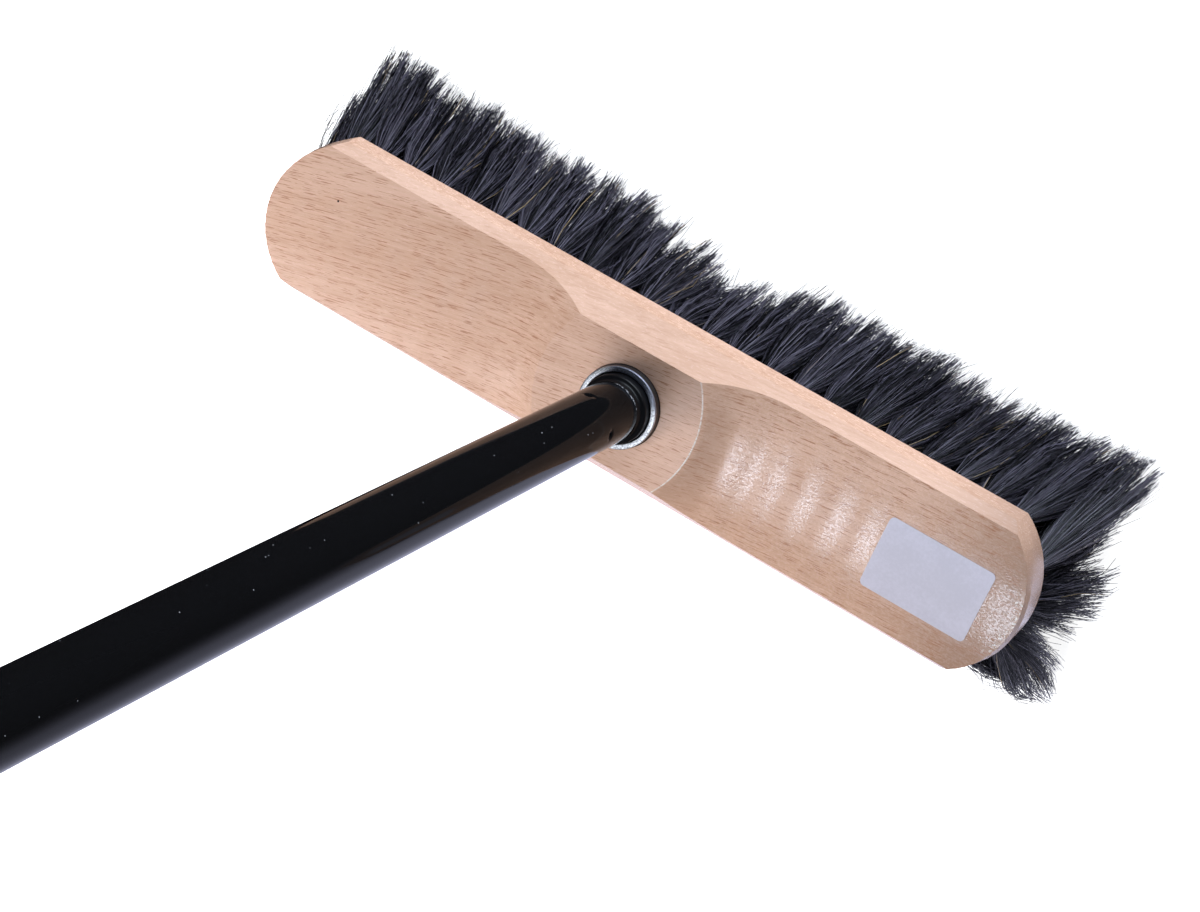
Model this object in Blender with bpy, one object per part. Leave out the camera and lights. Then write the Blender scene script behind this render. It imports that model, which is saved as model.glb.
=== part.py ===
"""A horsehair broom: a varnished beech block with one-piece milled wings, five rows of black
horsehair tufts, a galvanised steel sleeve set in the block, and a black steel tube handle that
screws into the sleeve with a plastic plug and hangs by the eye of its end cap.

The broom stands on its hair, with the floor at z = 0, the block along X and the handle along +Z.
"""

import math

import bmesh
import bpy
from mathutils import Vector

# Seats: the running and seating gap between neighbouring pieces, and the overrun of a cutter
SEAT_GAP = 0.0003
OVERRUN = 0.004
WELD = 0.000001

# Beech block
BLOCK_LENGTH = 0.300
BLOCK_WIDTH = 0.058
BLOCK_THICKNESS = 0.025
SIDE_HEIGHT = 0.011
END_RADIUS_EXCESS = 0.005
SHOULDER_INSET = 0.0075
PAD_LENGTH = 0.061
PAD_END_RADIUS_EXCESS = 0.009
PAD_OFFSET = -0.0018
WING_HEIGHT = 0.016
WING_CROWN = 0.0032
WING_FILLET_RADIUS = 0.070
FACET_INSET = 0.001
FACET_MIDDLE_HEIGHT = 0.0165
FACET_CORNER_HEIGHT = 0.005
SOCKET_FLOOR = 0.008
POCKET_RIM = 0.003

# Horsehair tufts
HAIR_LENGTH = 0.055
SLICE_THICKNESS = 0.005
COLUMN_SPACING = 0.0121
COLUMN_END_INSET = 0.01085
ROW_EDGE_INSET = 0.0062
ROW_COUNT = 5
END_ROW_COUNT = 3
END_ROW_PITCH_SHARE = 0.7
ROW_STAGGER_SHARE = 0.25
TUFT_SPREAD = 0.0012
LOCK_ROOT_RADIUS = 0.00105
LOCK_TIP_RADIUS = 0.0018
LENGTHWISE_FAN_SHARE = 0.31
SIDEWAYS_FAN = 0.0154
LOCK_TIP_SPREAD_X = 0.0033
LOCK_TIP_SPREAD_Y = 0.0041

# Galvanised sleeve
SLEEVE_RADIUS = 0.01425
SLEEVE_WALL = 0.002
SLEEVE_STANDOFF = 0.0035
SLEEVE_LIP_RADIUS = 0.0007

# Threaded plug
PLUG_COLLAR_STANDOFF = 0.0029
PLUG_SHOULDER_HEIGHT = 0.0011
PLUG_SHOULDER_INSET = 0.0006
PLUG_CONE_HEIGHT = 0.0012
PLUG_NECK_HEIGHT = 0.0006
PLUG_TIP_CHAMFER = 0.0012
PLUG_SPIGOT_LENGTH = 0.035

# Handle tube
TUBE_RADIUS = 0.0105
TUBE_WALL = 0.0005
TUBE_LENGTH = 1.200
TUBE_RIM_ROLL = 0.0007

# Hanging cap
CAP_WALL = 0.0013
CAP_SKIRT_LENGTH = 0.024
CAP_ROOF = 0.002
CAP_SHOULDER_RADIUS = 0.005
TAB_THICKNESS = 0.007
TAB_RADIUS = 0.0105
EYE_HEIGHT = 0.020
EYE_RADIUS = 0.005

# Facet counts and the angle above which an edge stays crisp
END_STEPS = 22
WING_SECTIONS = 12
FILLET_STEPS = 8
ROUND_STEPS = 48
LIP_STEPS = 3
EYE_STEPS = 24
TAB_STEPS = 12
SLICE_END_STEPS = 6
LOCK_SIDES = 3
CRISP_ANGLE = math.radians(28)
GOLDEN_ANGLE = math.radians(137.5)

# Derived sizes
HALF_WIDTH = BLOCK_WIDTH / 2
HALF_PAD = HALF_WIDTH - SHOULDER_INSET
END_RADIUS = HALF_WIDTH + END_RADIUS_EXCESS
PAD_END_RADIUS = HALF_WIDTH + PAD_END_RADIUS_EXCESS
CHAMFER_SLOPE = SHOULDER_INSET / (BLOCK_THICKNESS - SIDE_HEIGHT)
WING_HALF_WIDTH = HALF_WIDTH - (WING_HEIGHT - SIDE_HEIGHT) * CHAMFER_SLOPE
END_CENTRE = BLOCK_LENGTH / 2 - END_RADIUS
POCKET_DEPTH = SLICE_THICKNESS + SEAT_GAP
SLICE_HALF_LENGTH = HALF_WIDTH - POCKET_RIM - SEAT_GAP
SLICE_END_RADIUS = END_RADIUS - POCKET_RIM - SEAT_GAP
COLUMN_SPAN = BLOCK_LENGTH - 2 * COLUMN_END_INSET
COLUMN_COUNT = 1 + round(COLUMN_SPAN / COLUMN_SPACING)
COLUMN_PITCH = COLUMN_SPAN / (COLUMN_COUNT - 1)
ROW_PITCH = 2 * (HALF_WIDTH - ROW_EDGE_INSET) / (ROW_COUNT - 1)
END_ROW_PITCH = ROW_PITCH * END_ROW_PITCH_SHARE
ROW_STAGGER = COLUMN_PITCH * ROW_STAGGER_SHARE
SLEEVE_BORE = SLEEVE_RADIUS - SLEEVE_WALL
SLEEVE_FOOT = SOCKET_FLOOR + SEAT_GAP
SLEEVE_LENGTH = BLOCK_THICKNESS + SLEEVE_STANDOFF - SLEEVE_FOOT
PLUG_RADIUS = SLEEVE_BORE - SEAT_GAP
PLUG_COLLAR_HEIGHT = SLEEVE_LENGTH + PLUG_COLLAR_STANDOFF
TUBE_BORE = TUBE_RADIUS - TUBE_WALL
SPIGOT_RADIUS = TUBE_BORE - SEAT_GAP
PLUG_NECK_RADIUS = SPIGOT_RADIUS + TUBE_WALL
PLUG_NECK_TOP = PLUG_COLLAR_HEIGHT + PLUG_SHOULDER_HEIGHT + PLUG_CONE_HEIGHT + PLUG_NECK_HEIGHT
TUBE_FOOT = HAIR_LENGTH + SLEEVE_FOOT + PLUG_NECK_TOP + SEAT_GAP
CAP_BORE = TUBE_RADIUS + SEAT_GAP
CAP_RADIUS = CAP_BORE + CAP_WALL
CAP_FOOT = TUBE_FOOT + TUBE_LENGTH + SEAT_GAP - CAP_SKIRT_LENGTH


def clear_scene():
    """Remove every object, mesh and material that the scene starts with."""
    for obj in list(bpy.data.objects):
        bpy.data.objects.remove(obj, do_unlink=True)
    for mesh in list(bpy.data.meshes):
        bpy.data.meshes.remove(mesh)
    for material in list(bpy.data.materials):
        bpy.data.materials.remove(material)


def make_material(name, colour, roughness, metallic):
    """Make a Principled material with one colour, roughness and metallic value."""
    material = bpy.data.materials.new(name)
    material.use_nodes = True
    shader = material.node_tree.nodes["Principled BSDF"]
    shader.inputs["Base Color"].default_value = (*colour, 1)
    shader.inputs["Roughness"].default_value = roughness
    shader.inputs["Metallic"].default_value = metallic
    material.diffuse_color = (*colour, 1)
    return material


def add_object(name, bm, location=(0, 0, 0), material=None):
    """Turn a bmesh into a linked object with its faces pointing out."""
    bmesh.ops.recalc_face_normals(bm, faces=bm.faces)
    mesh = bpy.data.meshes.new(name)
    bm.to_mesh(mesh)
    bm.free()
    obj = bpy.data.objects.new(name, mesh)
    obj.location = location
    bpy.context.scene.collection.objects.link(obj)
    if material:
        mesh.materials.append(material)
    return obj


def shade(obj):
    """Shade an object smooth, with its sharper edges left crisp."""
    obj.data.shade_smooth()
    obj.data.set_sharp_from_angle(angle=CRISP_ANGLE)


def carve(obj, cutters, operation="DIFFERENCE"):
    """Apply a Boolean with each cutter in turn, then remove the cutters."""
    for cutter in cutters:
        cutter.hide_render = True
        cutter.display_type = "WIRE"
        boolean = obj.modifiers.new(cutter.name, "BOOLEAN")
        boolean.operation = operation
        boolean.object = cutter
    graph = bpy.context.evaluated_depsgraph_get()
    carved = bpy.data.meshes.new_from_object(obj.evaluated_get(graph))
    obj.modifiers.clear()
    obj.data = carved
    for cutter in cutters:
        bpy.data.objects.remove(cutter, do_unlink=True)


def add_ring(bm, points):
    """Add a closed loop of vertices."""
    return [bm.verts.new(point) for point in points]


def bridge(bm, first, second):
    """Join two loops of as many vertices with a band of quads."""
    count = len(first)
    for i in range(count):
        after = (i + 1) % count
        bm.faces.new((first[i], first[after], second[after], second[i]))


def loft(bm, sections):
    """Build a closed body through a row of closed sections."""
    rings = [add_ring(bm, section) for section in sections]
    for first, second in zip(rings, rings[1:]):
        bridge(bm, first, second)
    bm.faces.new(rings[0])
    bm.faces.new(rings[-1])


def prism(outline, bottom, top):
    """Extrude a plan outline between two heights."""
    bm = bmesh.new()
    loft(bm, [[(x, y, height) for x, y in outline] for height in (bottom, top)])
    return bm


def turn(profile, steps, closed):
    """Spin a profile of (radius, height) points round the Z axis."""
    bm = bmesh.new()
    verts = [bm.verts.new((radius, 0, height)) for radius, height in profile]
    pairs = list(zip(verts, verts[1:]))
    if closed:
        pairs.append((verts[-1], verts[0]))
    edges = [bm.edges.new(pair) for pair in pairs]
    bmesh.ops.spin(
        bm, geom=verts + edges, cent=(0, 0, 0), axis=(0, 0, 1), angle=math.tau, steps=steps,
        use_merge=True,
    )
    bmesh.ops.remove_doubles(bm, verts=bm.verts, dist=WELD)
    return bm


def round_corner(centre, radius, start, end, steps):
    """Points of an arc in degrees, first and last included."""
    points = []
    for i in range(steps + 1):
        angle = math.radians(start + (end - start) * i / steps)
        points.append((centre[0] + radius * math.cos(angle), centre[1] + radius * math.sin(angle)))
    return points


def block_outline(inset):
    """Plan of the block, with arc ends that meet the long sides at crisp corners."""
    radius = END_RADIUS - inset
    corner = math.degrees(math.asin((HALF_WIDTH - inset) / radius))
    right = round_corner((END_CENTRE, 0), radius, -corner, corner, END_STEPS)
    left = [(-x, -y) for x, y in right]
    return right + left


def wing_level(y):
    """Height of a wing's crowned top above the underside."""
    return WING_HEIGHT + WING_CROWN * (1 - (y / WING_HALF_WIDTH) ** 2)


def pad_end(y):
    """Distance from the pad's middle to its curved end."""
    across = math.sqrt(PAD_END_RADIUS**2 - y**2)
    return PAD_LENGTH / 2 - PAD_END_RADIUS + across


def make_section_tool():
    """Long bar with the block's section: a flat top and two chamfered shoulders."""
    reach = HALF_WIDTH + OVERRUN
    foot = SIDE_HEIGHT - OVERRUN / CHAMFER_SLOPE
    bottom = min(0, foot) - OVERRUN
    section = [
        (-reach, bottom), (reach, bottom), (reach, foot),
        (HALF_PAD, BLOCK_THICKNESS), (-HALF_PAD, BLOCK_THICKNESS), (-reach, foot),
    ]
    end = BLOCK_LENGTH / 2 + OVERRUN
    bm = bmesh.new()
    loft(bm, [[(x, y, z) for y, z in section] for x in (-end, end)])
    return add_object("section_tool", bm)


def make_wing_tool(side):
    """Cutter of one wing: its concave run-out from the pad, then the crowned level."""
    top = BLOCK_THICKNESS + OVERRUN
    far = BLOCK_LENGTH / 2 + OVERRUN - PAD_OFFSET * side
    reach = HALF_WIDTH + OVERRUN
    sections = []
    for i in range(WING_SECTIONS + 1):
        y = reach * (2 * i / WING_SECTIONS - 1)
        level = wing_level(y)
        drop = BLOCK_THICKNESS - level
        end = math.asin(math.sqrt(2 * WING_FILLET_RADIUS * drop - drop**2) / WING_FILLET_RADIUS)
        start = pad_end(y) + WING_FILLET_RADIUS * math.sin(end)
        profile = []
        for j in range(FILLET_STEPS + 1):
            angle = end * (1 - j / FILLET_STEPS)
            x = start - WING_FILLET_RADIUS * math.sin(angle)
            profile.append((x, level + WING_FILLET_RADIUS * (1 - math.cos(angle))))
        lead = (profile[0][0] - OVERRUN / math.tan(end), top)
        outline = [lead] + profile + [(far, level), (far, top)]
        sections.append([(PAD_OFFSET + side * x, y, z) for x, z in outline])
    bm = bmesh.new()
    loft(bm, sections)
    return add_object("wing_tool", bm)


def make_facet_tool(side):
    """Cutter of the sanded facet round one end, steepest at the corners."""
    top = BLOCK_THICKNESS + OVERRUN
    corner = math.asin(HALF_WIDTH / END_RADIUS)
    fall = (FACET_MIDDLE_HEIGHT - FACET_CORNER_HEIGHT) / HALF_WIDTH**2
    margin = OVERRUN / END_RADIUS
    sections = []
    for i in range(END_STEPS + 1):
        angle = (corner + margin) * (2 * i / END_STEPS - 1)
        y = END_RADIUS * math.sin(angle)
        low = FACET_MIDDLE_HEIGHT - fall * y**2
        lean = FACET_INSET / (wing_level(y) - low)
        foot = low - OVERRUN
        profile = [
            (END_RADIUS + OVERRUN * lean, foot), (END_RADIUS - (top - low) * lean, top),
            (END_RADIUS + OVERRUN + OVERRUN * lean, top), (END_RADIUS + OVERRUN + OVERRUN * lean, foot),
        ]
        sections.append([
            (side * (END_CENTRE + radius * math.cos(angle)), radius * math.sin(angle), z)
            for radius, z in profile
        ])
    bm = bmesh.new()
    loft(bm, sections)
    return add_object("facet_tool", bm)


def make_block(material):
    """Beech block: chamfered section, milled wings, sanded ends, socket and tuft pocket."""
    block = add_object("beech_block", prism(block_outline(0), 0, BLOCK_THICKNESS + OVERRUN))
    carve(block, [make_section_tool()], "INTERSECT")
    socket = round_corner((0, 0), SLEEVE_RADIUS + SEAT_GAP, 0, 360, ROUND_STEPS)[:-1]
    tools = [make_wing_tool(side) for side in (-1, 1)] + [make_facet_tool(side) for side in (-1, 1)]
    tools.append(add_object("socket_tool", prism(socket, SOCKET_FLOOR, BLOCK_THICKNESS + OVERRUN)))
    tools.append(add_object("pocket_tool", prism(block_outline(POCKET_RIM), -OVERRUN, POCKET_DEPTH)))
    carve(block, tools)
    block.data.materials.clear()
    block.data.materials.append(material)
    block.location = (0, 0, HAIR_LENGTH)
    shade(block)
    return block


def column_place(column):
    """Distance of a tuft column from the block's middle."""
    return (column - (COLUMN_COUNT - 1) / 2) * COLUMN_PITCH


def slice_reach(x):
    """Half length of the backing slice at a distance along the block."""
    beyond = max(0.0, abs(x) - END_CENTRE)
    arc = math.sqrt(max(0.0, SLICE_END_RADIUS**2 - beyond**2))
    return min(SLICE_HALF_LENGTH, arc)


def slice_outline(column):
    """Plan of one backing slice, whose outer slices follow the block's arc ends."""
    centre = column_place(column)
    half = (COLUMN_PITCH - SEAT_GAP) / 2
    steps = SLICE_END_STEPS if abs(centre) + half > END_CENTRE else 1
    stations = [centre - half + 2 * half * i / steps for i in range(steps + 1)]
    near = [(x - centre, -slice_reach(x)) for x in stations]
    far = [(x - centre, slice_reach(x)) for x in reversed(stations)]
    return near + far


def tuft_places(column):
    """Places of a column's tufts, every other row stepped along the block, inside its arc ends."""
    at_end = column in (0, COLUMN_COUNT - 1)
    count = END_ROW_COUNT if at_end else ROW_COUNT
    half_tuft = TUFT_SPREAD + LOCK_ROOT_RADIUS
    outermost = slice_reach(abs(column_place(column)) + ROW_STAGGER + half_tuft) - half_tuft - SEAT_GAP
    pitch = min(END_ROW_PITCH if at_end else ROW_PITCH, 2 * outermost / (count - 1))
    places = []
    for row in range(count):
        offset = row - (count - 1) // 2
        step = ROW_STAGGER if offset % 2 == 0 else -ROW_STAGGER
        places.append((column_place(column) + step, offset * pitch))
    return places


def lock_places(column):
    """Root and tip of each lock of a column: the locks of a tuft fan out as they fall."""
    edge_row = ROW_PITCH * (ROW_COUNT - 1) / 2
    locks = []
    for x, y in tuft_places(column):
        fan_x = LENGTHWISE_FAN_SHARE * HAIR_LENGTH * x / (BLOCK_LENGTH / 2)
        fan_y = SIDEWAYS_FAN * y / edge_row
        for side_x in (-1, 1):
            for side_y in (-1, 1):
                root = (x + side_x * TUFT_SPREAD, y + side_y * TUFT_SPREAD)
                tip = (x + fan_x + side_x * LOCK_TIP_SPREAD_X, y + fan_y + side_y * LOCK_TIP_SPREAD_Y)
                locks.append((root, tip))
    return locks


def lock_section(centre, radius, turned, height):
    """Corners of a lock's level section."""
    corners = []
    for i in range(LOCK_SIDES):
        angle = turned + math.tau * i / LOCK_SIDES
        corners.append((centre[0] + radius * math.cos(angle), centre[1] + radius * math.sin(angle), height))
    return corners


def loop_edges(bm, ring):
    """Edges between the neighbours of a closed loop."""
    return [bm.edges.get((a, b)) for a, b in zip(ring, ring[1:] + ring[:1])]


def make_strip(column, material):
    """One column of tufts with the slice of backing that holds them."""
    centre = column_place(column)
    outline = slice_outline(column)
    bm = bmesh.new()
    top = add_ring(bm, [(x, y, SLICE_THICKNESS) for x, y in outline])
    bottom = add_ring(bm, [(x, y, 0) for x, y in outline])
    bridge(bm, top, bottom)
    bm.faces.new(top)
    rims = loop_edges(bm, bottom)
    for i, (root, tip) in enumerate(lock_places(column)):
        turned = GOLDEN_ANGLE * (i + column)
        root_place, tip_place = (root[0] - centre, root[1]), (tip[0] - centre, tip[1])
        root_ring = add_ring(bm, lock_section(root_place, LOCK_ROOT_RADIUS, turned, 0))
        tip_ring = add_ring(bm, lock_section(tip_place, LOCK_TIP_RADIUS, turned, -HAIR_LENGTH))
        bridge(bm, root_ring, tip_ring)
        bm.faces.new(tip_ring)
        rims += loop_edges(bm, root_ring)
    bmesh.ops.triangle_fill(bm, edges=rims, use_beauty=True, use_dissolve=False)
    name = f"bristle_strip_{column + 1:02d}"
    return add_object(name, bm, (centre, 0, HAIR_LENGTH), material)


def make_sleeve(material):
    """Galvanised sleeve in the block, with a rounded lip above the pad."""
    lip = SLEEVE_LIP_RADIUS
    outer = round_corner((SLEEVE_RADIUS - lip, SLEEVE_LENGTH - lip), lip, 0, 90, LIP_STEPS)
    inner = round_corner((SLEEVE_BORE + lip, SLEEVE_LENGTH - lip), lip, 90, 180, LIP_STEPS)
    profile = [(SLEEVE_BORE, 0), (SLEEVE_RADIUS, 0)] + outer + inner
    sleeve = add_object(
        "galvanised_sleeve", turn(profile, ROUND_STEPS, True), (0, 0, HAIR_LENGTH + SLEEVE_FOOT), material
    )
    shade(sleeve)
    return sleeve


def make_axis():
    """Empty on the screw axis, at the foot of the sleeve, that carries the whole handle."""
    axis = bpy.data.objects.new("handle_screw_axis", None)
    axis.location = (0, 0, HAIR_LENGTH + SLEEVE_FOOT)
    bpy.context.scene.collection.objects.link(axis)
    return axis


def make_plug(material):
    """Plastic plug: the part in the sleeve, its shoulder, and the spigot inside the tube."""
    shoulder = PLUG_COLLAR_HEIGHT + PLUG_SHOULDER_HEIGHT
    cone = shoulder + PLUG_CONE_HEIGHT
    tip = PLUG_NECK_TOP + PLUG_SPIGOT_LENGTH
    profile = [
        (0, 0), (PLUG_RADIUS - PLUG_TIP_CHAMFER, 0), (PLUG_RADIUS, PLUG_TIP_CHAMFER),
        (PLUG_RADIUS, PLUG_COLLAR_HEIGHT), (PLUG_RADIUS - PLUG_SHOULDER_INSET, shoulder),
        (PLUG_NECK_RADIUS, cone), (PLUG_NECK_RADIUS, PLUG_NECK_TOP), (SPIGOT_RADIUS, PLUG_NECK_TOP),
        (SPIGOT_RADIUS, tip - PLUG_TIP_CHAMFER), (SPIGOT_RADIUS - PLUG_TIP_CHAMFER, tip), (0, tip),
    ]
    plug = add_object("threaded_plug", turn(profile, ROUND_STEPS, False), (0, 0, 0), material)
    shade(plug)
    return plug


def make_tube(material):
    """Lacquered steel tube, rolled in a little at its lower rim."""
    roll = TUBE_RIM_ROLL
    edge = TUBE_RADIUS - TUBE_BORE
    rim = [
        (TUBE_BORE + edge * (1 - math.cos(math.pi / 2 * i / LIP_STEPS)),
         roll * (1 - math.cos(math.pi / 2 * i / LIP_STEPS)))
        for i in range(1, LIP_STEPS)
    ]
    profile = (
        [(TUBE_BORE, TUBE_LENGTH), (TUBE_BORE, 0)] + rim
        + [(TUBE_RADIUS, roll), (TUBE_RADIUS, TUBE_LENGTH)]
    )
    tube = add_object("handle_tube", turn(profile, ROUND_STEPS, True), (0, 0, 0), material)
    shade(tube)
    return tube


def make_cap(material):
    """End cap: a skirt over the tube, a rounded shoulder and a flat tab with the hanging eye."""
    inside = CAP_SKIRT_LENGTH
    roof = inside + CAP_ROOF + CAP_SHOULDER_RADIUS
    shoulder_centre = (CAP_RADIUS - CAP_SHOULDER_RADIUS, roof - CAP_SHOULDER_RADIUS)
    shoulder = round_corner(shoulder_centre, CAP_SHOULDER_RADIUS, 0, 90, 2 * LIP_STEPS)
    profile = [(0, inside), (CAP_BORE, inside), (CAP_BORE, 0), (CAP_RADIUS, 0)] + shoulder + [(0, roof)]
    cap = add_object("hanging_cap", turn(profile, ROUND_STEPS, False))
    eye_centre = inside + EYE_HEIGHT
    arch = round_corner((0, eye_centre), TAB_RADIUS, 0, 180, TAB_STEPS)
    root = inside + CAP_ROOF / 2
    outline = arch + [(-TAB_RADIUS, root), (TAB_RADIUS, root)]
    bm = bmesh.new()
    loft(bm, [[(x, y, z) for x, z in outline] for y in (-TAB_THICKNESS / 2, TAB_THICKNESS / 2)])
    carve(cap, [add_object("tab", bm)], "UNION")
    reach = TAB_THICKNESS / 2 + OVERRUN
    eye = round_corner((0, eye_centre), EYE_RADIUS, 0, 360, EYE_STEPS)[:-1]
    bm = bmesh.new()
    loft(bm, [[(x, y, z) for x, z in eye] for y in (-reach, reach)])
    carve(cap, [add_object("eye_tool", bm)])
    cap.data.materials.clear()
    cap.data.materials.append(material)
    shade(cap)
    return cap


def main():
    """Build the broom, standing on its hair."""
    clear_scene()
    beech = make_material("varnished beech", (0.68, 0.42, 0.24), 0.38, 0.0)
    hair = make_material("black horsehair", (0.012, 0.012, 0.015), 0.45, 0.0)
    zinc = make_material("galvanised steel", (0.72, 0.74, 0.78), 0.34, 1.0)
    plastic = make_material("black plastic", (0.014, 0.014, 0.016), 0.42, 0.0)
    lacquer = make_material("black lacquered steel", (0.008, 0.008, 0.009), 0.12, 0.0)
    make_block(beech)
    make_sleeve(zinc)
    for column in range(COLUMN_COUNT):
        make_strip(column, hair)
    axis = make_axis()
    plug = make_plug(plastic)
    plug.parent = axis
    tube = make_tube(lacquer)
    tube.parent = axis
    tube.location = Vector((0, 0, TUBE_FOOT)) - axis.location
    cap = make_cap(plastic)
    cap.parent = tube
    cap.location = (0, 0, CAP_FOOT - TUBE_FOOT)


if __name__ == "__main__":
    main()
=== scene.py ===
"""Horsehair broom: a varnished beech block with a blank label, black horsehair tufts, a galvanised
socket and a black lacquered tube handle that screws into it.

Laid out as an add-on and run as a script. World metres, floor at z = 0, block along X.
"""

import math

import bmesh
import bpy
import numpy as np
from bpy.props import FloatProperty, FloatVectorProperty, IntProperty, PointerProperty
from bpy.types import Operator, Panel, PropertyGroup
from mathutils import Matrix, Vector
from mathutils.bvhtree import BVHTree


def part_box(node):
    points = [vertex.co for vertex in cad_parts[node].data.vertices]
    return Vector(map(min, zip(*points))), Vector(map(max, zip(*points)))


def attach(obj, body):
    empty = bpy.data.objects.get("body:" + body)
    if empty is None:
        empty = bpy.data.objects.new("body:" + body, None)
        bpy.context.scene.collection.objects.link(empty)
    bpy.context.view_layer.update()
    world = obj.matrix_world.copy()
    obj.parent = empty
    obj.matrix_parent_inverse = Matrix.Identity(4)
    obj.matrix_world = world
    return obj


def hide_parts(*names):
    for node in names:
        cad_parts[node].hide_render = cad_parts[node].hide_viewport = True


bl_info = {
    "name": "Horsehair broom",
    "version": (1, 0, 0),
    "blender": (4, 5, 0),
    "location": "3D View > Sidebar > Broom",
    "description": "Dresses the packed broom: beech block, horsehair, socket, handle and stage",
    "category": "Object",
}

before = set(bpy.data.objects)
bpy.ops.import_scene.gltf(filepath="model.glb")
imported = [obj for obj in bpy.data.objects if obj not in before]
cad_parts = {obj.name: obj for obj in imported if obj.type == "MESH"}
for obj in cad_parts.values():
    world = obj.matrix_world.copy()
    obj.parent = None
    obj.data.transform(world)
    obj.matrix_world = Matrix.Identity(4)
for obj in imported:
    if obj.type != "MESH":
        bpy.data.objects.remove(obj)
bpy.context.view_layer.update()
MERGE = 0.000002
TAU = math.tau

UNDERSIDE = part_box("beech_block")[0][2]
SLEEVE_LOW, SLEEVE_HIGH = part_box("galvanised_sleeve")
TUBE_LOW, TUBE_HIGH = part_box("handle_tube")
PLUG_LOW, PLUG_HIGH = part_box("threaded_plug")
HALF_BLOCK = 0.15

# Steps round the handle's axis, finer on the tube for its crimp dimples
ROUND_STEPS = 96
TUBE_STEPS = 240

COLUMN_COUNT = sum(name.startswith("bristle_strip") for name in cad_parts)
END_COLUMNS = (0, COLUMN_COUNT - 1)

# Shape of one hair: stations along it, its thickness there, and the seed of each column's draw
HAIR_STATIONS = np.array([0.0, 0.30, 0.58, 0.81, 1.0])
HAIR_TAPER = np.array([1.0, 1.0, 1.0, 0.95, 0.70])
HAIR_SEED = 400

# Half size within which the hair's tips spread freely, and how softly it gives beyond that
HAIR_FREE = np.array([0.1635, 0.0450])
HAIR_SOFT = 0.0049

# The hair parts along the middle of the block, most of all near the socket
PARTING_MIDDLE = -0.003
PARTING_WIDTH = 0.018

# The lean across is this share of the whole at the block's middle, and whole this far along it
LEAN_MIDDLE = 0.84
LEAN_WHOLE = 0.13

# The end columns: their rows stand closer, their tips spread wider and lean further outward
END_ROWS = 0.52
END_SPREAD = np.array([1.1, 1.4])
END_LEAN_ALONG, END_ROW_DROP = 0.84, 0.08
END_LEAN_RIGHT, END_LEAN_LEFT = 1.78, 1.60

# Random departures, in metres unless a share: of a tuft's lean, of its locks, of single hairs
LEAN_SCATTER = 0.018
LOCK_SCATTER, LOCK_BOW, LOCK_CURL, LOCK_SHORT = 0.10, 0.0012, 0.0008, 0.0028
STRAY_SCATTER, HAIR_SCATTER, HAIR_BOW, HAIR_CURL, HAIR_SHORT = 0.12, 0.0011, 0.0009, 0.0005, 0.0045
LOOSE_SHARE, LOOSE_REACH = 0.10, 2.6

# How a tuft's locks turn from one to the next, how its tips fan out along the hair, and its curls
LOCK_TURN = 0.618
FAN_POWER = 0.75
CURL_WAVES = 2.6

# The block keeps its CAD form from this height above its underside; below, its rim runs straight down
TUFT_CEILING = 0.0055

# How far the hair starts inside its hole, and how far its tips stay off the floor
HAIR_SUNK = 0.0012
HAIR_CLEAR = 0.0003

# The studio that the gloss mirrors, its cool lights, and the white that the camera sees
COOL_LIGHT = (0.80, 0.90, 1.0)
ROOM_ABOVE = (0.03, 0.03, 0.033)
ROOM_BELOW = (0.012, 0.012, 0.014)
PANEL = (1.0, 1.03, 1.35)
PANEL_DIRECTION = (0.25, -0.55, -0.80)
BACKDROP = (1.0, 1.0, 1.0)

# The camera of the photograph, with its place measured from the block's underside
CAMERA_PLACE = (0.235193, 0.323227, UNDERSIDE + 0.838619)
CAMERA_RIGHT = (0.83436572, 0.37918892, -0.400062)
CAMERA_UP = (-0.48779631, 0.84592652, -0.21555298)
CAMERA_BACK = (0.25668775, 0.37499879, 0.89077905)


def length(name, description, default):
    """A property that holds a length in metres."""
    return FloatProperty(name=name, description=description, default=default, unit="LENGTH", precision=5)


def share(name, description, default):
    """A property that holds a plain number."""
    return FloatProperty(name=name, description=description, default=default)


def whole(name, description, default):
    """A property that holds a whole number of things, at least one."""
    return IntProperty(name=name, description=description, default=default, min=1)


def power(name, description, default):
    """A property that holds the power of a light."""
    return FloatProperty(name=name, description=description, default=default, unit="POWER")


def colour(name, description, default):
    """A property that holds a linear colour."""
    return FloatVectorProperty(
        name=name, description=description, default=default, subtype="COLOR", size=3
    )


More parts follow.
